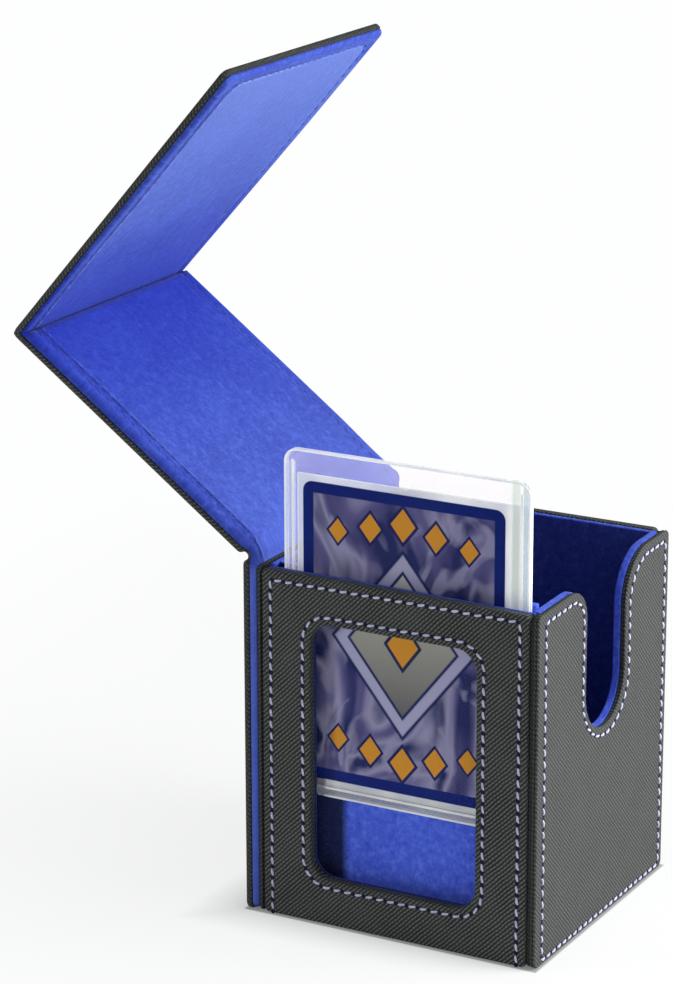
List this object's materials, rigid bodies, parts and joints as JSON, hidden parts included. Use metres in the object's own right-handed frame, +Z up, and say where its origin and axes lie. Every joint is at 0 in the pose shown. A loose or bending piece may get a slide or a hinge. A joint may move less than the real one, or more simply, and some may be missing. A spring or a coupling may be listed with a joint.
{
  "type": "toploader card case",
  "caption": "Box for trading cards in rigid clear holders: window front, finger notch, display pocket and a folding magnetic cover that stands open above it.",
  "frame": {"origin": "centre of the case body's underside, on the table", "axes": "+Z up, window on the -Y side, cover hinged at the -X side, finger notch on the +X side"},
  "size_m": [0.1653, 0.0884, 0.2435],
  "materials": {
    "ribbed_leather": "black imitation leather, fine diagonal ribs, satin",
    "blue_suede": "royal blue micro suede, short nap",
    "grey_board": "plain grey board",
    "magnet_steel": "nickel plated",
    "clear_sheet": "clear glossy rigid sheet",
    "clear_pane": "clear thin film",
    "sleeve_film": "soft clear film",
    "card_print": "printed card, satin"
  },
  "bodies": {
    "case": {"front_leather": "ribbed_leather", "back_leather": "ribbed_leather", "base_leather": "ribbed_leather", "left_slab_leather": "ribbed_leather", "right_slab_leather": "ribbed_leather", "cover_side_leather": "ribbed_leather", "front_lining": "blue_suede", "back_lining": "blue_suede", "base_lining": "blue_suede", "left_lining": "blue_suede", "right_lining": "blue_suede", "divider_suede": "blue_suede", "cover_side_suede": "blue_suede", "front_board": "grey_board", "back_board": "grey_board", "base_board": "grey_board", "left_slab_board": "grey_board", "right_slab_board": "grey_board", "divider_board": "grey_board", "cover_side_board": "grey_board", "wall_magnets": "magnet_steel", "window_pane": "clear_pane"},
    "lid": {"lid_leather": "ribbed_leather", "lid_board": "grey_board", "lid_suede": "blue_suede"},
    "fold": {"fold_leather": "ribbed_leather", "fold_suede": "blue_suede"},
    "flap": {"flap_leather": "ribbed_leather", "flap_board": "grey_board", "flap_suede": "blue_suede", "flap_magnets": "magnet_steel"},
    "toploader": {"toploader_front_sheet": "clear_sheet", "toploader_back_sheet": "clear_sheet", "toploader_edge": "clear_sheet", "penny_sleeve": "sleeve_film", "card": "card_print"}
  },
  "joints": [
    {"name": "lid_hinge", "type": "hinge", "parent": "case", "child": "lid", "pos_m": [-0.047, 0, 0.1082], "axis": [0, -1, 0], "range_deg": [-143.9, 70]},
    {"name": "flap_settle", "type": "hinge", "parent": "lid", "child": "fold", "pos_m": [-0.1215, 0, 0.16408], "axis": [0, -1, 0], "range_deg": [-3, 6]},
    {"name": "flap_fold", "type": "hinge", "parent": "fold", "child": "flap", "pos_m": [-0.1215, 0, 0.16408], "axis": [0, -1, 0], "range_deg": [0, 95]},
    {"name": "toploader_slide", "type": "slide", "parent": "case", "child": "toploader", "axis": [0, 0, 1], "range_m": [-0.0352, 0.0172]}
  ],
  "couplings": [
    {"joint": "flap_settle", "follows": "lid_hinge", "ratio": -0.039263},
    {"joint": "toploader_slide", "follows": "lid_hinge", "m_per_rad": 0.013976}
  ]
}
